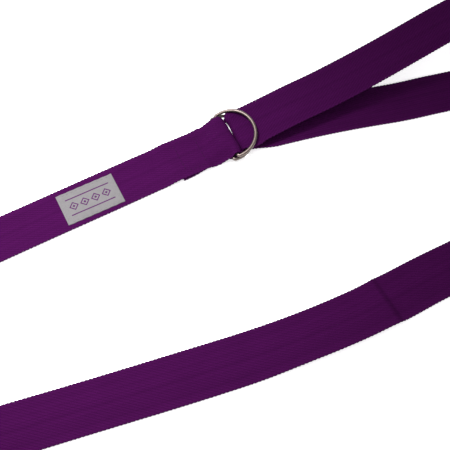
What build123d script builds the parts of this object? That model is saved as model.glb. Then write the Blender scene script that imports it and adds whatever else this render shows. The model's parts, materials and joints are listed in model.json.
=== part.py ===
from build123d import *
import os
from math import atan2, cos, degrees, pi, radians, sin

os.makedirs("parts", exist_ok=True)

# Stretching strap: one length of flat cotton webbing, sewn round the bars of two D-rings at one end
# and threaded back through them. Millimetres, Z up. The origin is on the floor below the middle of
# the ring bars. Headings are in degrees, anticlockwise from +X.

# Webbing
STRAP_WIDTH = 37.5
STRAP_THICK = 2.0
FINISHED_LENGTH = 1830.0  # from the ring bars to the free end
FOLD_WIDTH = 31.0  # the edges cup where the webbing is drawn through the rings
HEM_LENGTH = 26.0

# Sewn end: the webbing turns round the ring bars and lies back under itself
LOOP_HEADING = 26.6
SEWN_HEADING = 28.1
TAB_LENGTH = 46.0
LOOP_REACH = 6.5
LOOP_HEIGHT = 11.0
LOOP_NOSE = 5.5
STEP_LENGTH = 20.0  # over which the strand comes down off the tab

# D-rings: distance along the ring heading, offset across it and height of each bar, then the tilt
WIRE_RADIUS = 1.4
RING_HEADING = 27.0
RING_HALF_WIDTH = 21.4
RING_DEPTH = 23.5
RING_STRAIGHT = 4.5
RING_CORNER = 1.8
LOWER_BAR = (-2.4, 0.2, 4.0)
LOWER_TILT = 0.0
UPPER_BAR = (1.2, -0.2, 7.2)
UPPER_TILT = 12.6

# Fold through the rings: where the middle of the webbing turns over, and how far it reaches
FOLD_POINT = (7.4, 4.35)
FOLD_HEADING = 21.0
FOLD_HEIGHT = 8.2
LOW_HEADING = 14.2
LOW_REACH = 22.0
TAIL_HEADING = 27.0
HINGE_DISTANCE = 27.0
HINGE_TOP = 10.2

# Lay of the rest of the strap on the floor
NEAR_MIDDLE = [(-0.1, -187.7), (57.9, -167.0), (105.9, -146.2), (149.9, -122.4)]
NEAR_LEFT = (-140.1, -232.0)
NEAR_LEFT_HEADING = 17.4
NEAR_RIGHT_HEADING = 27.0
LEFT_TURN_START = 230.0
RIGHT_TURN_END = 175.0
TURN_LEAN = 84.0
TURN_RAMP = 0.38
TURN_SECTIONS = 16
# Middle line of the tail: distance from the fold and height, up to its crest
TAIL_RISE = [
    (HINGE_DISTANCE, HINGE_TOP - STRAP_THICK / 2),
    (52, 12.2),
    (80, 14.3),
    (108, 18.3),
    (136, 23.7),
    (164, 30.1),
    (195, 37.0),
    (232, 41.0),
]
TAIL_LANDING = 356.0

# Label and thread
LABEL_DISTANCE = 117.9
LABEL_OFFSET = -0.9
LABEL_HEADING = 27.2
LABEL_LENGTH = 47.0
LABEL_WIDTH = 28.0
LABEL_THICK = 0.4
LABEL_SEAM_INSET = 1.6
STITCH_LENGTH = 2.4
STITCH_PITCH = 3.6
STITCH_WIDTH = 0.5
STITCH_HEIGHT = 0.3
SEAM_HALF_WIDTH = 14.0
CLEAR = 0.02

UP = Vector(0, 0, 1)
HALF = STRAP_WIDTH / 2


def heading(angle):
    return Vector(cos(radians(angle)), sin(radians(angle)), 0)


def side(angle):
    return heading(angle + 90)


def smooth(x):
    x = min(max(x, 0.0), 1.0)
    return x * x * (3 - 2 * x)


def save(name, shape):
    export_step(shape, f"parts/{name}.step")


def crossing(a, angle_a, b, angle_b):
    """Where the line through a crosses the line through b."""
    da, db, gap = heading(angle_a), heading(angle_b), b - a
    return a + da * ((gap.X * db.Y - gap.Y * db.X) / (da.X * db.Y - da.Y * db.X))


def upright(origin, angle):
    """Upright plane: local x along the heading, local y up."""
    return Plane(origin=origin, x_dir=heading(angle), z_dir=side(angle) * -1)


def offset_curve(centre):
    """Points half a thickness above and below a middle line given as (distance, height)."""
    upper, lower = [], []
    for i, (x, z) in enumerate(centre):
        slope = 0
        if 0 < i < len(centre) - 1:
            slope = atan2(centre[i + 1][1] - centre[i - 1][1], centre[i + 1][0] - centre[i - 1][0])
        dx, dz = -sin(slope) * STRAP_THICK / 2, cos(slope) * STRAP_THICK / 2
        upper.append((x + dx, z + dz))
        lower.append((x - dx, z - dz))
    return upper, lower


def ribbon(origin, angle, centre, width):
    """Webbing that rises and falls along a straight line on the floor."""
    upper, lower = offset_curve(centre)
    outline = [Spline(*upper), Line(upper[-1], lower[-1]), Spline(*lower), Line(lower[0], upper[0])]
    face = upright(origin, angle) * make_face(Wire(outline))
    return extrude(face, width / 2, both=True)


def flat_strip(middle, first_heading, last_heading):
    """Webbing flat on the floor, with its middle line through the points."""
    left, right = [], []
    for i, at in enumerate(middle):
        across = middle[min(i + 1, len(middle) - 1)] - middle[max(i - 1, 0)]
        across = Vector(-across.Y, across.X, 0).normalized()
        if i == 0:
            across = side(first_heading)
        if i == len(middle) - 1:
            across = side(last_heading)
        left.append(at + across * HALF)
        right.append(at - across * HALF)
    ends = [heading(first_heading), heading(last_heading)]
    outline = [
        Spline(*left, tangents=ends),
        Line(left[-1], right[-1]),
        Spline(*right, tangents=ends),
        Line(right[0], left[0]),
    ]
    return extrude(make_face(Wire(outline)), STRAP_THICK, dir=(0, 0, 1))


def straight_strip(start, end, angle):
    """Straight webbing flat on the floor."""
    middle = (start + end) * 0.5 + UP * STRAP_THICK / 2
    return Pos(*middle) * Rot(0, 0, angle) * Box((end - start).length, STRAP_WIDTH, STRAP_THICK)


def d_ring(bar, tilt):
    """Wire ring: straight bar, two short sides and a round nose."""
    half, corner = RING_HALF_WIDTH, RING_CORNER
    nose = RING_DEPTH - RING_STRAIGHT
    path = [
        Line((0, corner - half), (0, half - corner)),
        CenterArc((corner, half - corner), corner, 180, -90),
        Line((corner, half), (RING_STRAIGHT, half)),
        EllipticalCenterArc((RING_STRAIGHT, 0), nose, half, start_angle=270, arc_size=180),
        Line((RING_STRAIGHT, -half), (corner, -half)),
        CenterArc((corner, corner - half), corner, 270, -90),
    ]
    section = Plane(origin=(0, corner - half, 0), z_dir=(0, 1, 0)) * Circle(WIRE_RADIUS)
    ring = sweep(section, path=Wire(path))
    at = heading(RING_HEADING) * bar[0] + side(RING_HEADING) * bar[1] + UP * bar[2]
    return Pos(*at) * Rot(0, 0, RING_HEADING) * Rot(0, -tilt, 0) * ring


def turn(start, start_heading, end, end_heading):
    """Half turn: the webbing leans up onto its outer edge, bends, and lies down flat again."""
    change = end_heading - start_heading
    steps = 25 * TURN_SECTIONS

    def angle_at(t):
        return start_heading + change * (t - sin(2 * pi * t) / (2 * pi))

    middle = start_heading + change / 2
    reach = sum(cos(radians(angle_at((i + 0.5) / steps) - middle)) for i in range(steps)) / steps
    length = (end - start).length / reach
    sections, at = [], start
    for i in range(steps + 1):
        t = i / steps
        if i % 25 == 0:
            lean = radians(TURN_LEAN) * smooth(min(t, 1 - t) / TURN_RAMP)
            across = side(angle_at(t)) * cos(lean) + UP * sin(lean)
            rise = HALF * sin(lean) + STRAP_THICK / 2 * cos(lean)
            plane = Plane(origin=at + UP * rise, x_dir=across, z_dir=heading(angle_at(t)))
            sections.append(plane * Rectangle(STRAP_WIDTH, STRAP_THICK))
        at = at + heading(angle_at(t + 0.5 / steps)) * (length / steps)
    return loft(sections), length


def seam(start, end, height):
    """A row of thread stitches on a level surface."""
    run = end - start
    count = round(run.length / STITCH_PITCH)
    angle = degrees(atan2(run.Y, run.X))
    lift = UP * (height + CLEAR + STITCH_HEIGHT / 2)
    stitch = Rot(0, 0, angle) * Box(STITCH_LENGTH, STITCH_WIDTH, STITCH_HEIGHT)
    return [Pos(*(start + run * ((i + 0.5) / count) + lift)) * stitch for i in range(count)]


def boxed_seam(middle, angle, length, width, height):
    """Four rows of stitches round a rectangle."""
    along, across = heading(angle) * length / 2, side(angle) * width / 2
    corners = [along + across, across - along, along * -1 - across, along - across]
    corners = [middle + c for c in corners]
    stitches = []
    for i in range(4):
        start, end = corners[i], corners[(i + 1) % 4]
        trim = (end - start).normalized() * STITCH_PITCH / 2
        stitches += seam(start + trim, end - trim, height)
    return stitches


origin = Vector(0, 0, 0)
sewn = heading(LOOP_HEADING)
strand = heading(SEWN_HEADING)

# ---- sewn loop round the bars, with the tab folded back under the strand ----
t = STRAP_THICK
nose_x = LOOP_REACH - LOOP_NOSE
outer = [
    Line((-TAB_LENGTH, 0), (nose_x, 0)),
    CenterArc((nose_x, LOOP_NOSE), LOOP_NOSE, 270, 180),
    Line((nose_x, LOOP_HEIGHT), (nose_x - 4, LOOP_HEIGHT)),
    Spline(
        (nose_x - 4, LOOP_HEIGHT),
        (nose_x - 12, (LOOP_HEIGHT + 2 * t) / 2 + 0.1),
        (nose_x - 20, 2 * t),
        tangents=[(-1, 0), (-1, 0)],
    ),
    Line((nose_x - 20, 2 * t), (-TAB_LENGTH, 2 * t)),
    Line((-TAB_LENGTH, 2 * t), (-TAB_LENGTH, 0)),
]
inner = [
    Line((nose_x - 19, t), (nose_x, t)),
    CenterArc((nose_x, LOOP_NOSE), LOOP_NOSE - t, 270, 180),
    Line((nose_x, LOOP_HEIGHT - t), (nose_x - 4, LOOP_HEIGHT - t)),
    Spline(
        (nose_x - 4, LOOP_HEIGHT - t),
        (nose_x - 11.4, (LOOP_HEIGHT + 2 * t) / 2 - t + 0.1),
        (nose_x - 19, t),
        tangents=[(-1, 0), (-1, -0.05)],
    ),
]
profile = make_face(Wire(outer)) - make_face(Wire(inner))
loop = extrude(upright(origin, LOOP_HEADING) * profile, HALF, both=True)
save("webbing_sewn_loop", loop)

# ---- sewn strand: steps down off the tab, then lies flat past the label ----
strand_start = sewn * -(TAB_LENGTH + STEP_LENGTH)
left_start = strand_start - strand * (LEFT_TURN_START - TAB_LENGTH - STEP_LENGTH)
step = [(STEP_LENGTH * i / 5, t / 2 + t * (1 - smooth(i / 4))) for i in range(6)]
save("webbing_step_down", ribbon(sewn * -TAB_LENGTH, LOOP_HEADING + 180, step, STRAP_WIDTH))
kink_gap = strand * (HALF * sin(radians(SEWN_HEADING - LOOP_HEADING)))
save("webbing_label_strand", straight_strip(strand_start - kink_gap, left_start, SEWN_HEADING))

# ---- left turn ----
near_left = Vector(*NEAR_LEFT)
far_cross = crossing(left_start, SEWN_HEADING, near_left, NEAR_LEFT_HEADING)
left_end = far_cross + heading(NEAR_LEFT_HEADING) * (left_start - far_cross).length
left_turn, left_length = turn(
    left_start, SEWN_HEADING + 180, left_end, NEAR_LEFT_HEADING + 360
)
save("webbing_left_turn", left_turn)

# ---- right turn and low strand ----
fold_point = Vector(*FOLD_POINT)
near_right = Vector(*NEAR_MIDDLE[-1])
far_cross = crossing(near_right, NEAR_RIGHT_HEADING, fold_point, LOW_HEADING)
right_end = fold_point + heading(LOW_HEADING) * RIGHT_TURN_END
right_start = far_cross - heading(NEAR_RIGHT_HEADING) * (right_end - far_cross).length
right_turn, right_length = turn(
    right_start, NEAR_RIGHT_HEADING, right_end, LOW_HEADING + 180
)
save("webbing_right_turn", right_turn)
low_start = fold_point + heading(LOW_HEADING) * LOW_REACH
save("webbing_low_strand", straight_strip(low_start, right_end, LOW_HEADING))

# ---- near strand ----
near = [left_end] + [Vector(*at) for at in NEAR_MIDDLE] + [right_start]
save("webbing_near_strand", flat_strip(near, NEAR_LEFT_HEADING, NEAR_RIGHT_HEADING))
near_length = sum((b - a).length for a, b in zip(near, near[1:]))

# ---- fold through the rings: up through both windows and back over the lower ring ----
bend = FOLD_HEIGHT / 2
bend_profile = (
    Pos(bend, bend) * Circle(bend)
    - Pos(bend, bend) * Circle(bend - t)
    - Pos(2 * bend, bend) * Rectangle(2 * bend, FOLD_HEIGHT)
)
fold = extrude(upright(fold_point, FOLD_HEADING) * bend_profile, FOLD_WIDTH / 2, both=True)
low_centre = [(bend - 1, t / 2), (bend + 6, t / 2), (LOW_REACH, t / 2)]
top_centre = [
    (bend - 1, FOLD_HEIGHT - t / 2),
    (bend + 4, FOLD_HEIGHT - t / 2 + 0.1),
    (17, 7.95),
    TAIL_RISE[0],
]
fold += ribbon(fold_point, LOW_HEADING, low_centre, FOLD_WIDTH)
fold += ribbon(fold_point, TAIL_HEADING, top_centre, FOLD_WIDTH)
save("webbing_ring_fold", fold)

# ---- tail: rises off the rings, arches over and comes down to the floor ----
used = LEFT_TURN_START + left_length + near_length + right_length + RIGHT_TURN_END + pi * bend
tail_end = FINISHED_LENGTH - used
crest_x, crest_z = TAIL_RISE[-1]
tail_centre = list(TAIL_RISE)
for i in range(1, 9):
    part = i / 8
    x = crest_x + (TAIL_LANDING - crest_x) * part
    tail_centre.append((x, t / 2 + (crest_z - t / 2) * (1 - smooth(part))))
hem_distance = tail_end - HEM_LENGTH
tail_centre += [((TAIL_LANDING + hem_distance) / 2, t / 2), (hem_distance, t / 2)]
save("webbing_tail", ribbon(fold_point, TAIL_HEADING, tail_centre, STRAP_WIDTH))

# ---- hem: the free end turned back on itself, two layers stitched flat ----
hem_profile = (
    Pos(hem_distance + (HEM_LENGTH - t) / 2, t) * Rectangle(HEM_LENGTH - t, 2 * t)
    + Pos(tail_end - t, t) * Circle(t)
)
save("webbing_end_hem", extrude(upright(fold_point, TAIL_HEADING) * hem_profile, HALF, both=True))

# ---- D-rings ----
save("lower_ring", d_ring(LOWER_BAR, LOWER_TILT))
save("upper_ring", d_ring(UPPER_BAR, UPPER_TILT))

# ---- label and all stitching ----
label_at = strand_start - strand * (LABEL_DISTANCE - TAB_LENGTH - STEP_LENGTH)
label_at += side(SEWN_HEADING) * LABEL_OFFSET
label_lift = UP * (t + CLEAR + LABEL_THICK / 2)
label = Box(LABEL_LENGTH, LABEL_WIDTH, LABEL_THICK)
save("label", Pos(*(label_at + label_lift)) * Rot(0, 0, LABEL_HEADING) * label)

seam_length = LABEL_LENGTH - 2 * LABEL_SEAM_INSET
seam_width = LABEL_WIDTH - 2 * LABEL_SEAM_INSET
label_top = t + CLEAR + LABEL_THICK
label_seam = boxed_seam(label_at, LABEL_HEADING, seam_length, seam_width, label_top)
save("label_stitches", Compound(children=label_seam))

loop_seam_at = sewn * ((nose_x - 22 - TAB_LENGTH + 4) / 2)
loop_seam = boxed_seam(loop_seam_at, LOOP_HEADING, 18, 2 * SEAM_HALF_WIDTH, 2 * t)
save("ring_end_stitches", Compound(children=loop_seam))

hem_seam = []
for distance in (hem_distance + 5, tail_end - 6):
    at = fold_point + heading(TAIL_HEADING) * distance
    across = side(TAIL_HEADING) * (SEAM_HALF_WIDTH + 1)
    hem_seam += seam(at - across, at + across, 2 * t)
save("hem_stitches", Compound(children=hem_seam))
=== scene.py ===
import json
from math import cos, pi, radians, sin

import bpy
import numpy as np
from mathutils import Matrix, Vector


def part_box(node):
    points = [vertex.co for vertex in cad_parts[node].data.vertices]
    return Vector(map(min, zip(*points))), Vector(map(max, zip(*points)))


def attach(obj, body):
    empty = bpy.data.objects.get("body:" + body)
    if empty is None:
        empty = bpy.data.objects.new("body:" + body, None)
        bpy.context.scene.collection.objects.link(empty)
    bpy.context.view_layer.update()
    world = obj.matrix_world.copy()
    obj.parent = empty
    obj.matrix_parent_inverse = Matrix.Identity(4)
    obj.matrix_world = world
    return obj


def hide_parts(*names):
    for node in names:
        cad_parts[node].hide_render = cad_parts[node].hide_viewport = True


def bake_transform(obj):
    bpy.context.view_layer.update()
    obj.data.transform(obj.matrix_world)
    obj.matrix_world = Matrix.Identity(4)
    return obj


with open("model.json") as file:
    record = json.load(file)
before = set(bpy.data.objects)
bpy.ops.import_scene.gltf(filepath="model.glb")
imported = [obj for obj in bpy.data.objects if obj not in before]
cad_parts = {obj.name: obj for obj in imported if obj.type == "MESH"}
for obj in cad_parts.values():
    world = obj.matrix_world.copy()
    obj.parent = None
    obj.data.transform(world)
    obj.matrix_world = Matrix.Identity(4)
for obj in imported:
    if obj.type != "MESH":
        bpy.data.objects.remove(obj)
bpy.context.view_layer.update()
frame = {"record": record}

joints = {joint["name"]: joint for joint in frame["record"]["behaviour"]["joints"]}
rng = np.random.default_rng(11)
MM = 0.001
UP = np.array([0.0, 0.0, 1.0])

# ------------------------------------------------------------------ the lay of the webbing, in mm
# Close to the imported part's lay: headings in degrees anticlockwise from +X, heights over the floor.
# A name that ends in RISE or FALL holds where a change starts and how long it takes.
HALF = 18.75  # half the webbing's width
THICK = 2.0
LOOP_HEADING = 26.6
SEWN_HEADING = 28.1
TAB_LENGTH = 46.0
STEP_END = 66.0  # the strand lies flat on the floor from here
# how far the folded-back tab sticks out past the strand's near edge, by distance back from the bars
TAB_DRIFT = [(-46.0, 0.8), (-36.0, 0.3), (-16.0, -2.0), (-7.0, -1.6), (1.0, 0.0)]
NOSE_X = 1.0
NOSE_HEIGHT = 5.5
NOSE_RADIUS = 4.5
LOOP_TOP = 10.0
LOOP_FALL = (3.0, 17.0)  # the top layer comes down onto the tab, back from the nose
STEP_FALL = (1.0, 15.0)  # and off the tab onto the floor, back from the tab's end
LEFT_TURN_START = 230.0
NEAR_LEFT = (-140.1, -232.0)
NEAR_LEFT_HEADING = 17.4
NEAR_MIDDLE = [(-0.1, -187.7), (57.9, -167.0), (105.9, -146.2), (149.9, -122.4)]
NEAR_RIGHT_HEADING = 27.0
CREASE_X = 116.5  # soft crease across the near strand
CREASE_HEIGHT = 2.4
CREASE_REACH = 6.0
NEAR_ARCH = 2.2  # height of the near strand's middle over the floor
ARCH_RISE = (20.0, 100.0)
ARCH_FALL = (155.0, 60.0)
NEAR_TILT = -6.0
TILT_RISE = (10.0, 50.0)
TILT_FALL = (-8.0, 12.0)  # from the crease
TURN_LEAN = 84.0
TURN_RAMP = 0.38
FOLD_PLACE = np.array([7.4, 4.35, 0.0])
FOLD_HALF = 16.0  # half the width where the webbing is drawn through the rings
LOW_HEADING = 14.2
LOW_BOW = 2.2  # sideways bow of the low strand
BOW_LENGTH = 130.0
BOW_FALL = (120.0, 50.0)
RIGHT_TURN_END = 175.0
TAIL_HEADING = 27.0
BEND = 4.1  # distance from the fold's place, and height, of the middle of the bend
BEND_RADIUS = 3.1
BEND_TURNED = 120.0  # degrees round the bend where it has the tail's heading
PULLED_IN = 1.2  # the fold is drawn this much closer to the sewn loop
# middle line of the tail: distance from the fold and height, up to its crest
TAIL_LINE = [
    (4.1, 7.2), (8.1, 7.3), (17.0, 7.95), (27.0, 9.2), (52.0, 12.2), (80.0, 14.3),
    (108.0, 18.3), (136.0, 23.7), (164.0, 30.1), (195.0, 37.0), (232.0, 41.0),
]
LANDING = 356.0
HEM_LENGTH = 26.0
HEM_BEND_RADIUS = 1.06
HEM_BEND_BACK = 2.1  # from the free end to the middle of the hem's bend
HEM_BEND_HEIGHT = 2.06
HEM_LAYER_HEIGHT = 3.12
SPLIT_DISTANCE = 19.0  # where the tail's own mesh starts, under the upper ring
LABEL_DISTANCE = 117.9
LABEL_OFFSET = -0.9
LABEL_HEADING = 27.2

LAY_STEP = 0.5  # spacing of the middle line's points
STEP = 0.58  # spacing of the cross-sections
TOOTH_PITCH = 2.9
TOOTH_DEPTH = 0.42
TOOTH_SHAPE, TOOTH_BASE = 0.8, 0.65  # power of the tooth's sine, and what is taken off it
TOOTH_RISE = (0.9, 0.09)  # in shares of the half width, as the next
THINNING_RISE = (0.8, 0.15)
THINNING = 0.12  # of the thickness: less of it between the teeth, more on them


def heading(angle):
    return np.array([cos(radians(angle)), sin(radians(angle)), 0.0])


def side(angle):
    return heading(angle + 90)


def smooth(x):
    x = np.clip(x, 0.0, 1.0)
    return x * x * (3 - 2 * x)


def ramp(x, start, length):
    """0 up to the start, rising smoothly to 1 over the length."""
    return smooth((x - start) / length)


def plateau(x, middle, reach, fall):
    """1 within reach of the middle, falling smoothly to 0 over the fall."""
    return 1 - smooth((np.abs(x - middle) - reach) / fall)


STRAND_START = heading(LOOP_HEADING) * -STEP_END


class Path:
    """Middle line of the webbing, with its width direction."""

    def __init__(self):
        self.at, self.across = [], []

    def add(self, at, across):
        self.at.append(np.array(at, float))
        self.across.append(np.array(across, float))

    def turn(self, start, start_heading, end, end_heading):
        """Half turn: the webbing leans up onto its outer edge and lies down again."""
        change = end_heading - start_heading
        steps = 600

        def angle_at(t):
            return start_heading + change * (t - sin(2 * pi * t) / (2 * pi))

        middle = start_heading + change / 2
        reach = np.mean([cos(radians(angle_at((i + 0.5) / steps) - middle)) for i in range(steps)])
        length = np.linalg.norm(end - start) / reach
        at = start.copy()
        for i in range(steps):
            t = i / steps
            lean = radians(TURN_LEAN) * smooth(min(t, 1 - t) / TURN_RAMP)
            rise = HALF * sin(lean) + THICK / 2 * cos(lean)
            self.add(at + UP * rise, side(angle_at(t)) * cos(lean) + UP * sin(lean))
            at = at + heading(angle_at(t + 0.5 / steps)) * (length / steps)


def crossing(a, angle_a, b, angle_b):
    """Where the line through a crosses the line through b."""
    da, db, gap = heading(angle_a), heading(angle_b), b - a
    return a + da * ((gap[0] * db[1] - gap[1] * db[0]) / (da[0] * db[1] - da[1] * db[0]))


def hermite(points, first, last, count):
    """Smooth curve through the points with the given end headings."""
    slopes = [points[min(i + 1, len(points) - 1)] - points[max(i - 1, 0)] for i in range(len(points))]
    slopes = [slope / np.linalg.norm(slope) for slope in slopes]
    slopes[0], slopes[-1] = heading(first), heading(last)
    made = []
    for a, b, slope_a, slope_b in zip(points, points[1:], slopes, slopes[1:]):
        span = np.linalg.norm(b - a)
        for i in range(count):
            t = i / count
            place = a * (2 * t**3 - 3 * t**2 + 1) + b * (3 * t**2 - 2 * t**3)
            place += slope_a * span * (t**3 - 2 * t**2 + t) + slope_b * span * (t**3 - t**2)
            made.append(place)
    return made + [points[-1]]


def tail_height(x):
    """Height of the tail's middle line at a distance from the fold."""
    distances, heights = map(np.array, zip(*TAIL_LINE))
    if x > distances[-1]:
        fall = smooth((x - distances[-1]) / (LANDING - distances[-1]))
        return THICK / 2 + (heights[-1] - THICK / 2) * (1 - fall)
    slopes = np.gradient(heights, distances)
    slopes[-1] = 0
    x = max(x, distances[0])
    i = max(int(np.searchsorted(distances, x)) - 1, 0)
    span = distances[i + 1] - distances[i]
    t = (x - distances[i]) / span
    height = heights[i] * (2 * t**3 - 3 * t**2 + 1) + heights[i + 1] * (3 * t**2 - 2 * t**3)
    return height + span * (slopes[i] * (t**3 - 2 * t**2 + t) + slopes[i + 1] * (t**3 - t**2))


def lay_webbing():
    """The middle line, its indices at the loop's top and tail's start, and the free end's distance."""
    path = Path()
    loop, strand = heading(LOOP_HEADING), heading(SEWN_HEADING)

    # tab under the strand, round the ring bars, back over the top, down off the tab
    for x in np.arange(-TAB_LENGTH, NOSE_X, LAY_STEP):
        drift = np.interp(x, *zip(*TAB_DRIFT))
        path.add(loop * x - side(LOOP_HEADING) * drift + UP * THICK / 2, -side(LOOP_HEADING))
    for a in np.linspace(-90, 90, 40):
        x, z = NOSE_X + NOSE_RADIUS * cos(radians(a)), NOSE_HEIGHT + NOSE_RADIUS * sin(radians(a))
        path.add(loop * x + UP * z, -side(LOOP_HEADING))
    loop_top = len(path.at) - 1
    on_tab = 1.5 * THICK
    for x in np.arange(NOSE_X - LAY_STEP, -LEFT_TURN_START, -LAY_STEP):
        height = on_tab + (LOOP_TOP - on_tab) * (1 - ramp(NOSE_X - x, *LOOP_FALL))
        drop = THICK * ramp(-TAB_LENGTH - x, *STEP_FALL)
        at, angle = loop * x, LOOP_HEADING
        if x < -STEP_END:
            at, angle = STRAND_START + strand * (x + STEP_END), SEWN_HEADING
        path.add(at + UP * (height - drop), -side(angle))

    left_start = STRAND_START - strand * (LEFT_TURN_START - STEP_END)
    near_left = np.array([*NEAR_LEFT, 0.0])
    corner = crossing(left_start, SEWN_HEADING, near_left, NEAR_LEFT_HEADING)
    left_end = corner + heading(NEAR_LEFT_HEADING) * np.linalg.norm(left_start - corner)
    path.turn(left_start, SEWN_HEADING + 180, left_end, NEAR_LEFT_HEADING + 360)

    near = [np.array([*at, 0.0]) for at in NEAR_MIDDLE]
    corner = crossing(near[-1], NEAR_RIGHT_HEADING, FOLD_PLACE, LOW_HEADING)
    right_end = FOLD_PLACE + heading(LOW_HEADING) * RIGHT_TURN_END
    right_start = corner - heading(NEAR_RIGHT_HEADING) * np.linalg.norm(right_end - corner)
    curve = hermite([left_end, *near, right_start], NEAR_LEFT_HEADING, NEAR_RIGHT_HEADING, 120)
    for at, following in zip(curve, curve[1:]):
        along = following - at
        along /= np.linalg.norm(along)
        x = at[0]
        crease = CREASE_HEIGHT * np.exp(-abs(x - CREASE_X) / CREASE_REACH)
        arch = NEAR_ARCH * ramp(x, *ARCH_RISE) * (1 - ramp(x, *ARCH_FALL))
        tilt = radians(NEAR_TILT) * ramp(x, *TILT_RISE) * (1 - ramp(x - CREASE_X, *TILT_FALL))
        across = np.cross(UP, along) * cos(tilt) + UP * sin(tilt)
        path.add(at + UP * (THICK / 2 + crease + arch + abs(sin(tilt)) * HALF), across)
    path.turn(right_start, NEAR_RIGHT_HEADING, right_end, LOW_HEADING + 180)

    # low strand, the fold up through the lower ring, the tail under the upper ring
    bend_x = BEND - PULLED_IN
    for x in np.arange(RIGHT_TURN_END, bend_x, -LAY_STEP):
        bow = LOW_BOW * sin(pi * x / BOW_LENGTH) * (1 - ramp(x, *BOW_FALL))
        at = FOLD_PLACE + heading(LOW_HEADING) * x + side(LOW_HEADING) * bow
        path.add(at + UP * THICK / 2, -side(LOW_HEADING))
    for a in np.linspace(0, 180, 50):
        angle = LOW_HEADING + (TAIL_HEADING - LOW_HEADING) * smooth(a / BEND_TURNED)
        x, z = bend_x - BEND_RADIUS * sin(radians(a)), BEND - BEND_RADIUS * cos(radians(a))
        path.add(FOLD_PLACE + heading(angle) * x + UP * z, -side(angle))
    tail_begin = len(path.at)
    tail = heading(TAIL_HEADING)
    hem_far = np.array(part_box("webbing_end_hem")[1]) / MM - FOLD_PLACE
    tail_end = float((hem_far[1] - HALF * tail[0]) / tail[1])
    hem_bend = tail_end - HEM_BEND_BACK
    for x in np.arange(bend_x + LAY_STEP, hem_bend, LAY_STEP):
        path.add(FOLD_PLACE + tail * x + UP * tail_height(x), -side(TAIL_HEADING))
    for a in np.linspace(-90, 90, 16):
        x = hem_bend + HEM_BEND_RADIUS * cos(radians(a))
        z = HEM_BEND_HEIGHT + HEM_BEND_RADIUS * sin(radians(a))
        path.add(FOLD_PLACE + tail * x + UP * z, -side(TAIL_HEADING))
    for x in np.arange(hem_bend - LAY_STEP, tail_end - HEM_LENGTH, -LAY_STEP):
        path.add(FOLD_PLACE + tail * x + UP * HEM_LAYER_HEIGHT, -side(TAIL_HEADING))
    return path, loop_top, tail_begin, tail_end


def soften(values, reach):
    """Running average with a bell-shaped weight."""
    weight = np.exp(-0.5 * (np.arange(-3 * reach, 3 * reach + 1) / reach) ** 2)
    weight /= weight.sum()
    padded = np.pad(values, ((3 * reach, 3 * reach), (0, 0)), mode="edge")
    columns = [np.convolve(column, weight, mode="valid") for column in padded.T]
    return np.stack(columns, 1)


def unit(vectors):
    return vectors / np.linalg.norm(vectors, axis=1, keepdims=True)


LINE_SOFTENING = 2  # cross-sections that the direction is averaged over, each way
LEAN_SOFTENING = 6


class Strip:
    """The middle line as evenly spaced cross-sections: distance, place, across and normal."""

    def __init__(self, path):
        at, across = np.array(path.at), np.array(path.across)
        self.run = np.concatenate([[0], np.cumsum(np.linalg.norm(np.diff(at, axis=0), axis=1))])
        self.s = np.linspace(0, self.run[-1], int(self.run[-1] / STEP))
        self.at = np.stack([np.interp(self.s, self.run, at[:, k]) for k in range(3)], 1)
        across = np.stack([np.interp(self.s, self.run, across[:, k]) for k in range(3)], 1)
        self.along = unit(soften(np.gradient(self.at, self.s, axis=0), LINE_SOFTENING))
        across = unit(soften(across, LEAN_SOFTENING))
        self.across = unit(across - self.along * (across * self.along).sum(1, keepdims=True))
        self.normal = np.cross(self.along, self.across)


path, loop_top, tail_begin, tail_end = lay_webbing()
strip = Strip(path)
# distances along the webbing: the outermost point of the fold, over the ring bars, the crease
fold_s = strip.run[tail_begin] - BEND_RADIUS * pi / 2
loop_s = float(strip.run[loop_top])
NEAR_STRAND_Y = -90.0  # at the crease's x only the near strand lies below this
off_crease = np.where(strip.at[:, 1] > NEAR_STRAND_Y, np.inf, np.abs(strip.at[:, 0] - CREASE_X))
crease_s = float(strip.s[int(np.argmin(off_crease))])
split_s = strip.run[tail_begin] + SPLIT_DISTANCE - (BEND - PULLED_IN) - LAY_STEP
split_row = int(np.searchsorted(strip.s, split_s))


# ------------------------------------------------------------------ meshes
def mesh_object(name, verts, faces, uvs=None, sharp_rings=()):
    """Smooth-shaded object from points in mm; uvs are in mm for each vertex."""
    mesh = bpy.data.meshes.new(name)
    mesh.from_pydata((np.asarray(verts) * MM).tolist(), [], faces)
    if uvs is not None:
        corners = np.empty(len(mesh.loops), np.int32)
        mesh.loops.foreach_get("vertex_index", corners)
        layer = mesh.uv_layers.new(name="weave")
        layer.data.foreach_set("uv", (np.asarray(uvs)[corners] * MM).astype(np.float32).ravel())
    mesh.polygons.foreach_set("use_smooth", np.ones(len(mesh.polygons), bool))
    if sharp_rings:
        edges = np.empty(len(mesh.edges) * 2, np.int32)
        mesh.edges.foreach_get("vertices", edges)
        edges = edges.reshape(-1, 2)
        sharp = np.zeros(len(edges), bool)
        for first, last in sharp_rings:
            sharp |= ((edges >= first) & (edges < last)).all(1)
        attribute = mesh.attributes.new("sharp_edge", "BOOLEAN", "EDGE")
        attribute.data.foreach_set("value", sharp)
    mesh.update()
    obj = bpy.data.objects.new(name, mesh)
    bpy.context.collection.objects.link(obj)
    return obj


def tube_faces(rows, around, closed=False):
    """Quads of a grid that wraps round; closed also joins the last row to the first."""
    r = np.arange(rows if closed else rows - 1)[:, None]
    k = np.arange(around)[None, :]
    following, turned = (r + 1) % rows, (k + 1) % around
    quads = [r * around + k, r * around + turned, following * around + turned, following * around + k]
    return np.stack(quads, -1).reshape(-1, 4).tolist()


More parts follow.
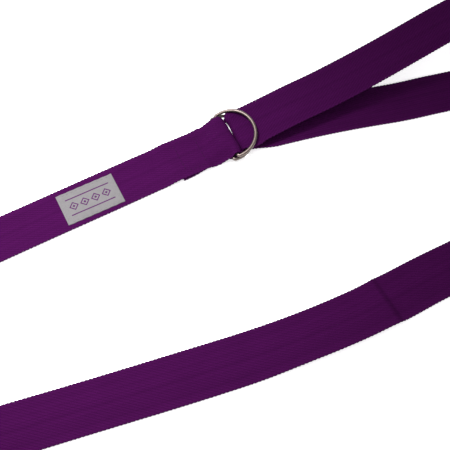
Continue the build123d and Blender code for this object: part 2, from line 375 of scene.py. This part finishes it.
# shares of the half width where the cross-section has its points, denser towards the selvedges
SHARES = np.array([0, 0.2, 0.4, 0.6, 0.76, 0.88, 0.945, 0.975, 0.993, 1.0])
SHARES = np.concatenate([-SHARES[::-1], SHARES[1:]])
EDGE_ROUND = 0.9  # how far in from the selvedge the faces start to round off
FACE_LOWERED = 0.06

# half the width over or under the nominal, by distance along the webbing
WIDTH_CHANGES = [(260, -0.3), (380, 0.35), (fold_s, 0.35), (fold_s + 40, -0.05)]

# the same for the near edge of the sewn end alone: the tab is tucked in, the loop spreads over the bars
NEAR_EDGE = [(8, 0), (20, -0.5), (30, -2.4), (39, -2.2), (47, -0.3), (54, 0.9), (66, 0.9), (76, 0)]


# slow wander of the half width: amount, length over which the wave's angle grows by 1, phase
WANDER = [(0.1, 23.0, 1.0), (0.08, 57.0, 0.0)]

# the webbing narrows before the fold through the rings, and widens again after it
DRAWN_BEFORE = (9.0, 26.0)
DRAWN_AFTER = (1.5, 5.0)
CUP = 0.12  # how far the selvedges stand off towards the normal
CUP_DRAWN = 0.4  # and how much further where the webbing is drawn in

# past the ring bars both selvedges curl down, the near one more
CURL_RISE = (0.5, 5.5)
CURL_FALL = (13.0, 14.0)
CURL_NEAR, CURL_FAR, CURL_START = 4.2, 1.0, 0.3

# between the two wires both edges spread; the far one, over a shorter stretch, rises too
FAR_SPREAD_RISE = (2.0, 3.0)
FAR_SPREAD_FALL = (8.0, 6.0)
FAR_SPREAD_START, FAR_SPREAD_OUT, FAR_SPREAD_UP = 0.35, 1.2, 0.5
NEAR_SPREAD_START, NEAR_SPREAD_OUT, NEAR_SPREAD_STRETCH = 0.3, 1.2, (5.0, 9.0, 8.0)

# the fold's far corner reaches towards the sewn loop, whose own corners are rounded back
FOLD_CORNER_START, FOLD_CORNER, FOLD_CORNER_STRETCH = 0.6, 2.2, (0.0, 3.0, 8.0)
LOOP_CORNER_START, LOOP_CORNER, LOOP_CORNER_STRETCH = 0.7, 1.3, (-7.0, 5.0, 5.0)


def towards_edge(share, start):
    """0 up to a share of the half width, rising smoothly to 1 at the selvedge."""
    return ramp(share, start, 1 - start)


def half_width(s, shares, drawn_in):
    """Half the webbing's width at each distance, a little different at its two edges."""
    half = HALF + np.interp(s, *zip(*WIDTH_CHANGES)) * (1 - drawn_in) - (HALF - FOLD_HALF) * drawn_in
    for amount, length, phase in WANDER:
        half = half + amount * np.sin(s / length + phase)
    return half + np.where(shares > 0, np.interp(s, *zip(*NEAR_EDGE)), 0.0)


def webbing_mesh(name, first, last):
    """Closed mesh of the webbing from one cross-section to another, with serrated selvedges."""
    rows = np.arange(first, last + 1)
    s = strip.s[rows][:, None]
    past_fold, past_bars = s - fold_s, s - loop_s
    shares = np.concatenate([SHARES, SHARES[::-1][1:-1]])[None, :]
    outwards = np.abs(shares)
    face = np.concatenate([np.ones(len(SHARES)), -np.ones(len(SHARES) - 2)])[None, :]
    drawn_in = 1 - np.where(past_fold > 0, ramp(past_fold, *DRAWN_AFTER), ramp(-past_fold, *DRAWN_BEFORE))
    half = half_width(s, shares, drawn_in)

    # flat faces, rounded off at the selvedges, where the weft's turns make small teeth
    inset = np.clip((outwards * half - (half - EDGE_ROUND)) / EDGE_ROUND, 0, 1)
    beat = (s / TOOTH_PITCH + np.where(shares > 0, 0.5, 0.0)) % 1.0
    tooth = TOOTH_DEPTH * (np.sin(pi * beat) ** TOOTH_SHAPE - TOOTH_BASE) * ramp(outwards, *TOOTH_RISE)
    width = half * shares + np.sign(shares) * tooth
    height = face * THICK / 2 * np.sqrt(1 - inset**2)
    thinning = THINNING * ramp(outwards, *THINNING_RISE) * np.cos(2 * pi * beat)
    height = height * (1 - thinning) - FACE_LOWERED

    curl = ramp(past_bars, *CURL_RISE) * (1 - ramp(past_bars, *CURL_FALL))
    curl = curl * np.where(shares > 0, CURL_NEAR, CURL_FAR) * towards_edge(outwards, CURL_START)
    far_spread = ramp(past_fold, *FAR_SPREAD_RISE) * (1 - ramp(past_fold, *FAR_SPREAD_FALL))
    far_spread = far_spread * towards_edge(-shares, FAR_SPREAD_START)
    near_spread = towards_edge(shares, NEAR_SPREAD_START) * plateau(past_fold, *NEAR_SPREAD_STRETCH)
    width = width - FAR_SPREAD_OUT * far_spread + NEAR_SPREAD_OUT * near_spread
    # past the fold the cross-section's normal points down
    height = height + (CUP_DRAWN * drawn_in + CUP) * shares**2 - curl - FAR_SPREAD_UP * far_spread

    fold_corner = towards_edge(-shares, FOLD_CORNER_START) * plateau(past_fold, *FOLD_CORNER_STRETCH)
    loop_corner = towards_edge(outwards, LOOP_CORNER_START) * plateau(past_bars, *LOOP_CORNER_STRETCH)
    corner = FOLD_CORNER * fold_corner + LOOP_CORNER * loop_corner
    points = (
        strip.at[rows][:, None, :]
        - heading(LOOP_HEADING) * corner[..., None]
        + strip.across[rows][:, None, :] * width[..., None]
        + strip.normal[rows][:, None, :] * height[..., None]
    )
    around = shares.shape[1]
    uvs = np.stack(np.broadcast_arrays(s, shares * HALF), -1).reshape(-1, 2)
    faces = tube_faces(len(rows), around)
    count = len(rows) * around
    faces.append(list(range(around))[::-1])
    faces.append(list(range(count - around, count)))
    return mesh_object(name, points.reshape(-1, 3), faces, uvs, [(0, around), (count - around, count)])


WIRE_RADIUS = 1.4
RING_HEADING = 27.0
RING_HALF_WIDTH = 21.4
RING_DEPTH = 23.5
RING_STRAIGHT = 4.5
RING_CORNER = 1.8
RING_TILTS = {"lower_ring": 0.0, "upper_ring": 12.6}
RING_JOINTS = {"lower_ring": "lower_ring_play", "upper_ring": "upper_ring_swing"}
WELD_SWELL = 0.22
WELD_REACH = 1.1


def ring_line():
    """Centre line of a D-ring: bar, corner, side, round nose, side, corner."""
    half, corner = RING_HALF_WIDTH, RING_CORNER
    line = [(0.0, y) for y in np.linspace(corner - half, half - corner, 30)[:-1]]
    for a in np.linspace(180, 90, 10)[:-1]:
        line.append((corner + corner * cos(radians(a)), half - corner + corner * sin(radians(a))))
    line += [(x, half) for x in np.linspace(corner, RING_STRAIGHT, 5)[:-1]]
    nose = RING_DEPTH - RING_STRAIGHT
    for a in np.linspace(90, -90, 97)[:-1]:
        line.append((RING_STRAIGHT + nose * cos(radians(a)), half * sin(radians(a))))
    line += [(x, -half) for x in np.linspace(RING_STRAIGHT, corner, 5)[:-1]]
    for a in np.linspace(270, 180, 10)[:-1]:
        line.append((corner + corner * cos(radians(a)), corner - half + corner * sin(radians(a))))
    return np.array(line)


def ring_mesh(node):
    """Bent round wire, butt-welded in the middle of its bar."""
    around = 28
    line = ring_line()
    ahead, behind = np.roll(line, -1, 0), np.roll(line, 1, 0)
    along = unit(ahead - behind)
    outward = np.stack([-along[:, 1], along[:, 0]], 1)
    run = np.cumsum(np.linalg.norm(line - behind, axis=1))
    weld = WELD_SWELL * np.exp(-((line[:, 1] / WELD_REACH) ** 2)) * (line[:, 0] < 0.01)
    a = np.arange(around) * 2 * pi / around
    radius = (WIRE_RADIUS + weld)[:, None, None]
    local = np.zeros((len(line), around, 3))
    local[..., :2] = line[:, None, :] + outward[:, None, :] * np.cos(a)[None, :, None] * radius
    local[..., 2] = np.sin(a)[None, :] * radius[..., 0]
    tilt = radians(RING_TILTS[node])
    forward = heading(RING_HEADING) * cos(tilt) + UP * sin(tilt)
    upward = UP * cos(tilt) - heading(RING_HEADING) * sin(tilt)
    bar = np.array(joints[RING_JOINTS[node]]["pos_m"]) / MM
    points = bar + local @ np.stack([forward, side(RING_HEADING), upward])
    uvs = np.stack(np.broadcast_arrays(run[:, None], a[None, :]), -1).reshape(-1, 2)
    faces = tube_faces(len(line), around, closed=True)
    return mesh_object(node + "_wire", points.reshape(-1, 3), faces, uvs)


LABEL_LENGTH = 47.0
LABEL_WIDTH = 28.0
LABEL_THICK = 0.4
LABEL_SEAM_INSET = 1.6
SEAM_DEPTH, SEAM_REACH = 0.12, 0.7  # the groove that the seam presses into the tape
RIM_SHARE = 0.45  # of the tape's thickness left at its rim
RIM_REACH = 0.6
TAPE_WAVE = 0.06
EDGE_WANDER = 0.12


def label_middle():
    """The place on the floor below the label's middle."""
    middle = STRAND_START - heading(SEWN_HEADING) * (LABEL_DISTANCE - STEP_END)
    return middle + side(SEWN_HEADING) * LABEL_OFFSET


def label_mesh():
    """Woven tape sewn flat, its rim pressed down by the seam."""
    columns, lines = 97, 57
    x = np.linspace(-1, 1, columns)[:, None] * np.ones(lines)[None, :]
    y = np.ones(columns)[:, None] * np.linspace(-1, 1, lines)[None, :]
    x_mm, y_mm = x * LABEL_LENGTH / 2, y * LABEL_WIDTH / 2
    rim = np.minimum(LABEL_LENGTH / 2 - np.abs(x_mm), LABEL_WIDTH / 2 - np.abs(y_mm))
    seam = np.exp(-(((rim - LABEL_SEAM_INSET) / SEAM_REACH) ** 2))
    top = LABEL_THICK * (RIM_SHARE + (1 - RIM_SHARE) * smooth(rim / RIM_REACH)) - SEAM_DEPTH * seam
    top += TAPE_WAVE * np.sin(x_mm / 5.0 + 0.7) * np.sin(y_mm / 4.0) * ramp(rim, 2, 3)
    edge_wander = EDGE_WANDER * np.sin(x_mm * 0.9) * np.sign(y) * (rim < 0.01)
    upper = np.stack([x_mm, y_mm + edge_wander, top + THICK - 0.02], -1)
    lower = np.stack([x_mm, y_mm + edge_wander, np.full_like(top, THICK - 0.06)], -1)
    count = columns * lines
    i = np.arange(count).reshape(columns, lines)
    quads = np.stack([i[:-1, :-1], i[1:, :-1], i[1:, 1:], i[:-1, 1:]], -1).reshape(-1, 4)
    rim_line = np.concatenate([i[:-1, 0], i[-1, :-1], i[:0:-1, -1], i[0, :0:-1]])
    walls = np.stack([rim_line + count, np.roll(rim_line, -1) + count, np.roll(rim_line, -1), rim_line], -1)
    faces = quads.tolist() + (quads[:, ::-1] + count).tolist() + walls.tolist()
    local = np.concatenate([upper.reshape(-1, 3), lower.reshape(-1, 3)])
    along, across = heading(LABEL_HEADING), side(LABEL_HEADING)
    points = label_middle() + local[:, :1] * along + local[:, 1:2] * across + local[:, 2:] * UP
    return mesh_object("label_tape", points, faces, local[:, :2])


STITCH_LENGTH = 2.9
STITCH_PITCH = 3.6
SEAM_HALF_WIDTH = 14.0
RING_SEAM_LENGTH = 18.0
HEM_SEAM_INSETS = (5.0, 6.0)  # from the hem's fold-back edge and from the free end
HEM_SEAM_HEIGHT = 4.12
LABEL_STITCH_RADIUS = 0.2
WEBBING_STITCH_RADIUS = 0.3
STITCH_WANDER = 4.0  # degrees
STITCH_DIVE = 1.1  # how deep its ends go, in radii
STITCH_HEIGHT = 0.8  # of its width
PLY_DEPTH, PLY_TWIST = 0.13, 7


def stitch_row(start, end, height):
    """Places and directions of the stitches of one seam."""
    run = end - start
    count = round(np.linalg.norm(run) / STITCH_PITCH)
    along = run / np.linalg.norm(run)
    return [(start + run * ((i + 0.5) / count) + UP * height, along) for i in range(count)]


def boxed_seam(middle, angle, length, width, height):
    """Four rows of stitches round a rectangle."""
    along, across = heading(angle) * length / 2, side(angle) * width / 2
    corners = [along + across, across - along, -along - across, along - across]
    corners = [middle + corner for corner in corners]
    stitches = []
    for start, end in zip(corners, corners[1:] + corners[:1]):
        trim = (end - start) / np.linalg.norm(end - start) * STITCH_PITCH / 2
        stitches += stitch_row(start + trim, end - trim, height)
    return stitches


def stitch_mesh(name, stitches, radius):
    """Thread stitches: two-ply capsules that dive into the cloth at both ends."""
    rows, around = 13, 10
    verts, faces, uvs = [], [], []
    for place, along in stitches:
        angle = rng.uniform(-STITCH_WANDER, STITCH_WANDER)
        across = np.cross(UP, along) * cos(radians(angle)) + along * sin(radians(angle))
        direction = np.cross(across, UP)
        first = len(verts)
        for r in range(rows):
            t = 2 * r / (rows - 1) - 1
            thick = radius * (1 - abs(t) ** 5) ** 0.5 + 0.01
            drop = -STITCH_DIVE * radius * abs(t) ** 3
            for k in range(around):
                a = 2 * pi * k / around
                ply = 1 + PLY_DEPTH * cos(2 * a + PLY_TWIST * t)
                ring = across * cos(a) * thick * ply + UP * (sin(a) * thick * ply * STITCH_HEIGHT + drop)
                verts.append(place + direction * t * STITCH_LENGTH / 2 + ring)
                uvs.append((t * STITCH_LENGTH / 2, a))
        faces += [[first + i for i in quad] for quad in tube_faces(rows, around)]
        faces.append([first + k for k in range(around)][::-1])
        faces.append([first + (rows - 1) * around + k for k in range(around)])
    return mesh_object(name, verts, faces, uvs)


# ------------------------------------------------------------------ materials
class Shade:
    """Short names for building a material's nodes."""

    def __init__(self, name):
        self.material = bpy.data.materials.new(name)
        self.material.use_nodes = True
        self.tree = self.material.node_tree
        self.tree.nodes.clear()
        self.surface = self.node("ShaderNodeBsdfPrincipled")
        output = self.node("ShaderNodeOutputMaterial")
        self.tree.links.new(self.surface.outputs[0], output.inputs[0])

    def node(self, kind, **settings):
        made = self.tree.nodes.new(kind)
        for key, value in settings.items():
            setattr(made, key, value)
        return made

    def feed(self, socket, value):
        if isinstance(value, bpy.types.NodeSocket):
            self.tree.links.new(value, socket)
        else:
            socket.default_value = value

    def set(self, **values):
        """Values straight onto the surface's sockets."""
        for key, value in values.items():
            self.feed(self.surface.inputs[key.replace("_", " ")], value)

    def math(self, operation, *values, clamp=False):
        made = self.node("ShaderNodeMath", operation=operation, use_clamp=clamp)
        for socket, value in zip(made.inputs, values):
            self.feed(socket, value)
        return made.outputs[0]

    def place(self):
        """Distances along and across the cloth in mm; round a wire or thread the second is an angle."""
        split = self.node("ShaderNodeSeparateXYZ")
        self.feed(split.inputs[0], self.node("ShaderNodeUVMap", uv_map="weave").outputs[0])
        return tuple(self.math("MULTIPLY", length, 1 / MM) for length in split.outputs[:2])

    def vector(self, x, y):
        made = self.node("ShaderNodeCombineXYZ")
        for socket, value in zip(made.inputs, (x, y)):
            self.feed(socket, value)
        return made.outputs[0]

    def noise(self, s, v, along, across, scale, detail):
        """Noise in the cloth's plane, with its own scale along and across."""
        vector = self.vector(self.math("MULTIPLY", s, along), self.math("MULTIPLY", v, across))
        made = self.node("ShaderNodeTexNoise")
        self.feed(made.inputs["Vector"], vector)
        self.feed(made.inputs["Scale"], scale)
        self.feed(made.inputs["Detail"], detail)
        return made.outputs[0]

    def random(self, value):
        made = self.node("ShaderNodeTexWhiteNoise", noise_dimensions="1D")
        self.feed(made.inputs["W"], value)
        return made.outputs[0]

    def spread(self, value, low, high, to_low, to_high, kind="LINEAR"):
        made = self.node("ShaderNodeMapRange", interpolation_type=kind)
        for socket, number in zip(made.inputs, (value, low, high, to_low, to_high)):
            self.feed(socket, number)
        return made.outputs[0]

    def vary(self, tone, value, low, high, amount):
        """The tone made darker and lighter by an amount as the value goes from low to high."""
        return self.math("MULTIPLY", tone, self.spread(value, low, high, 1 - amount, 1 + amount))

    def toned(self, colour, tone):
        """The colour multiplied by a grey tone."""
        return self.mix(1.0, colour, self.grey(tone), "MULTIPLY")

    def mix(self, share, a, b, blend="MIX"):
        made = self.node("ShaderNodeMix", data_type="RGBA", blend_type=blend)
        for index, value in ((0, share), (6, a), (7, b)):
            self.feed(made.inputs[index], value)
        return made.outputs[2]

    def grey(self, value):
        made = self.node("ShaderNodeCombineColor")
        for socket in made.inputs:
            self.feed(socket, value)
        return made.outputs[0]

    def bump(self, height, distance, strength):
        made = self.node("ShaderNodeBump")
        self.feed(made.inputs["Height"], height)
        self.feed(made.inputs["Distance"], distance)
        self.feed(made.inputs["Strength"], strength)
        self.feed(self.surface.inputs["Normal"], made.outputs[0])


WARP_PITCH = 0.55
FLOAT_LENGTH = 3.8
TWILL_SHADE_AND_HIGHLIGHT_TONES = (0.36, 1.34)  # painted shade in the dips and painted highlight on the crowns of the twill
# painted shade along the crease: how dark it gets, and how many mm either side it reaches
CREASE_SHADE_TONE, CREASE_SHADE_REACH = 0.74, 3.2
# selvedges paler, partly from fuzz and partly a painted highlight, between these distances in mm off the
# middle
SELVEDGE_TONE_START, SELVEDGE_TONE_END = 17.6, 18.6
WEBBING_COLOUR = (0.0350, 0.0026, 0.0385, 1)
SELVEDGE_FUZZ_AND_HIGHLIGHT_COLOUR = (0.045, 0.0040, 0.050, 1)
NICKEL_DARK = (0.088, 0.066, 0.061, 1)
NICKEL_LIGHT = (0.165, 0.135, 0.122, 1)
TAPE_COLOUR = (0.138, 0.131, 0.136, 1)
MOTIF_COLOUR = (0.052, 0.008, 0.060, 1)
GREY_THREAD_COLOUR = (0.155, 0.148, 0.153, 1)
PURPLE_THREAD_COLOUR = (0.028, 0.002, 0.031, 1)

# the label's woven pattern
RIB_PITCH, PICK_PITCH = 0.42, 0.5
LOZENGE_PITCH = 9.0
LOZENGE_REACH, LOZENGE_HALF_LINE = 3.3, 0.6
DOT_REACH = 1.2
RULE_OFFSET, RULE_HALF_LINE = 7.2, 0.5
PATTERN_HALF_LENGTH = 18.1


def twill(shade, s, v):
    """Height of warp-faced twill: each end floats, and dips a quarter repeat after its neighbour."""
    column = shade.math("DIVIDE", v, WARP_PITCH)
    end = shade.math("FLOOR", column)
    within = shade.math("FRACT", column)
    repeats = shade.math("DIVIDE", s, FLOAT_LENGTH)
    phase = shade.math("FRACT", shade.math("MULTIPLY_ADD", end, 0.25, repeats))
    crown = shade.math("SINE", shade.math("MULTIPLY", within, pi))
    crown = shade.math("POWER", crown, 0.6)
    lift = shade.math("SINE", shade.math("MULTIPLY", phase, pi))
    lift = shade.math("POWER", lift, 0.45)
    height = shade.math("MULTIPLY", crown, shade.math("MULTIPLY_ADD", lift, 0.65, 0.35))
    return height, end


def webbing_material():
    """Purple twill with uneven ends, loose fibres, slow mottling, painted shade and highlight on the
    weave's relief, painted shade along the crease, and selvedges paler from fuzz and a painted highlight.
    """
    shade = Shade("purple_webbing")
    s, v = shade.place()
    height, end = twill(shade, s, v)
    fibres = shade.noise(s, v, along=0.35, across=2.6, scale=3.0, detail=3.0)
    mottle = shade.noise(s, v, along=0.02, across=0.05, scale=2.0, detail=3.0)
    slub = shade.noise(s, end, along=0.07, across=1.0, scale=1.0, detail=1.0)
    # painted shade in the twill's dips and painted highlight on its crowns, by the weave's height
    tone = shade.spread(height, 0.0, 1.0, *TWILL_SHADE_AND_HIGHLIGHT_TONES)
    tone = shade.vary(tone, shade.random(end), 0.0, 1.0, amount=0.1)
    tone = shade.vary(tone, fibres, 0.25, 0.75, amount=0.14)
    tone = shade.vary(tone, slub, 0.3, 0.7, amount=0.03)
    tone = shade.vary(tone, mottle, 0.3, 0.7, amount=0.04)
    # painted shade: the webbing is darker in a band either side of the crease
    crease = shade.math("ABSOLUTE", shade.math("SUBTRACT", s, crease_s))
    crease = shade.spread(crease, 0.0, CREASE_SHADE_REACH, CREASE_SHADE_TONE, 1.0, "SMOOTHSTEP")
    tone = shade.math("MULTIPLY", tone, crease)
    # paler selvedges: partly fuzz, partly a painted highlight along the rounded edges
    off_middle = shade.math("ABSOLUTE", v)
    edge = shade.spread(off_middle, SELVEDGE_TONE_START, SELVEDGE_TONE_END, 0.0, 1.0, "SMOOTHSTEP")
    colour = shade.toned(shade.mix(edge, WEBBING_COLOUR, SELVEDGE_FUZZ_AND_HIGHLIGHT_COLOUR), tone)
    shade.set(Base_Color=colour, Roughness=0.9, Specular_IOR_Level=0.01)
    shade.set(Sheen_Weight=0.008, Sheen_Roughness=0.5, Sheen_Tint=(0.7, 0.15, 0.75, 1.0))
    shade.bump(shade.math("MULTIPLY_ADD", fibres, 0.25, height), distance=0.00022, strength=0.8)
    return shade.material


def ring_material():
    """Softly polished nickel, clouded, with fine scratches along the wire."""
    shade = Shade("nickel_wire")
    s, a = shade.place()
    cloud = shade.noise(s, a, along=0.25, across=1.0, scale=1.3, detail=4.0)
    scratches = shade.noise(s, a, along=0.5, across=9.0, scale=3.0, detail=5.0)
    shade.set(Base_Color=shade.mix(cloud, NICKEL_DARK, NICKEL_LIGHT), Metallic=1.0)
    shade.set(Roughness=shade.spread(scratches, 0.3, 0.7, 0.3, 0.46))
    shade.bump(scratches, distance=0.00003, strength=0.4)
    return shade.material


def label_motif(shade, s, v):
    """1 on a plain row of small lozenges with a dot in each, and on a line either side of it."""
    cell = shade.math("FRACT", shade.math("DIVIDE", s, LOZENGE_PITCH))
    cell = shade.math("ABSOLUTE", shade.math("SUBTRACT", cell, 0.5))
    off_middle = shade.math("ABSOLUTE", v)
    reach = shade.math("ADD", shade.math("MULTIPLY", cell, LOZENGE_PITCH), off_middle)
    lozenge = shade.math("COMPARE", reach, LOZENGE_REACH, LOZENGE_HALF_LINE)
    dot = shade.math("LESS_THAN", reach, DOT_REACH)
    rule = shade.math("COMPARE", off_middle, RULE_OFFSET, RULE_HALF_LINE)
    drawn = shade.math("MAXIMUM", shade.math("MAXIMUM", lozenge, dot), rule)
    inside = shade.math("LESS_THAN", shade.math("ABSOLUTE", s), PATTERN_HALF_LENGTH)
    return shade.math("MULTIPLY", drawn, inside)


def label_material():
    """Silver-grey woven tape with its pattern."""
    shade = Shade("grey_woven_tape")
    s, v = shade.place()
    ribs = shade.math("ABSOLUTE", shade.math("SINE", shade.math("MULTIPLY", s, pi / RIB_PITCH)))
    picks = shade.math("ABSOLUTE", shade.math("SINE", shade.math("MULTIPLY", v, pi / PICK_PITCH)))
    weave = shade.math("MULTIPLY", ribs, shade.math("MULTIPLY_ADD", picks, 0.5, 0.5))
    dust = shade.noise(s, v, along=0.1, across=0.1, scale=2.0, detail=4.0)
    # painted shade between the ribs and picks and painted highlight on their crowns, by the weave's height
    tone = shade.vary(shade.spread(weave, 0.0, 1.0, 0.72, 1.1), dust, 0.3, 0.7, amount=0.06)
    colour = shade.toned(shade.mix(label_motif(shade, s, v), TAPE_COLOUR, MOTIF_COLOUR), tone)
    shade.set(Base_Color=colour, Roughness=0.75, Sheen_Weight=0.03, Specular_IOR_Level=0.15)
    shade.bump(weave, distance=0.00006, strength=0.7)
    return shade.material


def thread_material(name, colour):
    """Sewing thread, with painted shade where its plies meet."""
    shade = Shade(name)
    s, a = shade.place()
    ply = shade.math("ABSOLUTE", shade.math("SINE", shade.math("MULTIPLY_ADD", s, 5.0, a)))
    # painted shade in the grooves between the plies and painted highlight on their crowns
    tone = shade.spread(ply, 0.0, 1.0, 0.6, 1.15)
    shade.set(Base_Color=shade.toned(colour, tone), Roughness=0.8, Specular_IOR_Level=0.05)
    shade.bump(ply, distance=0.00005, strength=0.6)
    return shade.material


def floor_material():
    """White, with a little glow of its own so that it comes out as white paper does."""
    shade = Shade("pale_floor")
    shade.set(Base_Color=(0.95, 0.95, 0.95, 1), Roughness=0.9)
    shade.set(Emission_Color=(1.0, 1.0, 1.0, 1.0), Emission_Strength=0.5)
    return shade.material


# ------------------------------------------------------------------ the strap
webbing_nodes = [
    "webbing_sewn_loop", "webbing_step_down", "webbing_label_strand", "webbing_left_turn",
    "webbing_near_strand", "webbing_right_turn", "webbing_low_strand", "webbing_ring_fold",
]
cloth = webbing_material()

webbing = webbing_mesh("webbing_cloth", 0, split_row)
webbing.data.materials.append(cloth)
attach(webbing, "webbing")
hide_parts(*webbing_nodes)

tail = webbing_mesh("tail_cloth", split_row, len(strip.s) - 1)
tail.data.materials.append(cloth)
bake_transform(tail)
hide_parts("webbing_tail", "webbing_end_hem")

nickel = ring_material()
for node in ("lower_ring", "upper_ring"):
    ring = ring_mesh(node)
    ring.data.materials.append(nickel)
    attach(ring, node)
    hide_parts(node)

label = label_mesh()
label.data.materials.append(label_material())
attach(label, "webbing")
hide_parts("label")

inset = 2 * LABEL_SEAM_INSET
label_seam_height = THICK + LABEL_THICK - 0.1
label_seam_size = (LABEL_LENGTH - inset, LABEL_WIDTH - inset)
label_seam = boxed_seam(label_middle(), LABEL_HEADING, *label_seam_size, label_seam_height)
ring_seam_at = heading(LOOP_HEADING) * (NOSE_X - RING_SEAM_LENGTH - TAB_LENGTH) / 2
ring_seam = boxed_seam(ring_seam_at, LOOP_HEADING, RING_SEAM_LENGTH, 2 * SEAM_HALF_WIDTH, 2 * THICK)
hem_seam = []
hem_reach = side(TAIL_HEADING) * (SEAM_HALF_WIDTH + 1)
for distance in (tail_end - HEM_LENGTH + HEM_SEAM_INSETS[0], tail_end - HEM_SEAM_INSETS[1]):
    middle = FOLD_PLACE + heading(TAIL_HEADING) * distance
    hem_seam += stitch_row(middle - hem_reach, middle + hem_reach, HEM_SEAM_HEIGHT)
grey_thread = thread_material("grey_thread", GREY_THREAD_COLOUR)
purple_thread = thread_material("purple_thread", PURPLE_THREAD_COLOUR)
for name, node, stitches, body, thread, radius in (
    ("label_thread", "label_stitches", label_seam, "webbing", grey_thread, LABEL_STITCH_RADIUS),
    ("ring_end_thread", "ring_end_stitches", ring_seam, "webbing", purple_thread, WEBBING_STITCH_RADIUS),
    ("hem_thread", "hem_stitches", hem_seam, "tail", purple_thread, WEBBING_STITCH_RADIUS),
):
    piece = stitch_mesh(name, stitches, radius)
    piece.data.materials.append(thread)
    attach(piece, body)
    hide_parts(node)

# ------------------------------------------------------------------ floor, light and camera
# metres here, as Blender's own objects are
FLOOR_REACH, FLOOR_DROP = 3.0, 0.0004
KEY_PLACE, KEY_AIM = Vector((-0.46, 0.12, 0.92)), Vector((-0.165, -0.08, 0))
KEY_POWER, KEY_SIZE, KEY_ANGLE = 92.0, 0.12, 37.0
CAMERA_PLACE, CAMERA_AIM = Vector((-0.00014, -0.3711, 0.557)), Vector((-0.00014, -0.0763, 0.0))
LENS, SENSOR_WIDTH = 66.0, 36.0


def stand(name, data, place, aim):
    """A light or camera at a place, turned towards its aim."""
    made = bpy.data.objects.new(name, data)
    made.location = place
    made.rotation_euler = (aim - place).to_track_quat("-Z", "Y").to_euler()
    bpy.context.collection.objects.link(made)
    return made


corners = [(x * FLOOR_REACH, y * FLOOR_REACH, -FLOOR_DROP) for x, y in ((-1, -1), (1, -1), (1, 1), (-1, 1))]
floor_mesh = bpy.data.meshes.new("floor")
floor_mesh.from_pydata(corners, [], [(0, 1, 2, 3)])
floor_mesh.materials.append(floor_material())
floor = bpy.data.objects.new("floor", floor_mesh)
bpy.context.collection.objects.link(floor)

key = bpy.data.lights.new("key", "SPOT")
key.energy, key.shadow_soft_size = KEY_POWER, KEY_SIZE
key.spot_size, key.spot_blend = radians(KEY_ANGLE), 1.0
stand("key", key, KEY_PLACE, KEY_AIM)

world = bpy.data.worlds.new("studio")
world.use_nodes = True
background = world.node_tree.nodes["Background"]
background.inputs["Color"].default_value = (1, 1, 1, 1)
background.inputs["Strength"].default_value = 1.0
bpy.context.scene.world = world
bpy.context.scene.view_settings.view_transform = "Standard"

camera_data = bpy.data.cameras.new("camera")
camera_data.lens, camera_data.sensor_width = LENS, SENSOR_WIDTH
bpy.context.scene.camera = stand("camera", camera_data, CAMERA_PLACE, CAMERA_AIM)
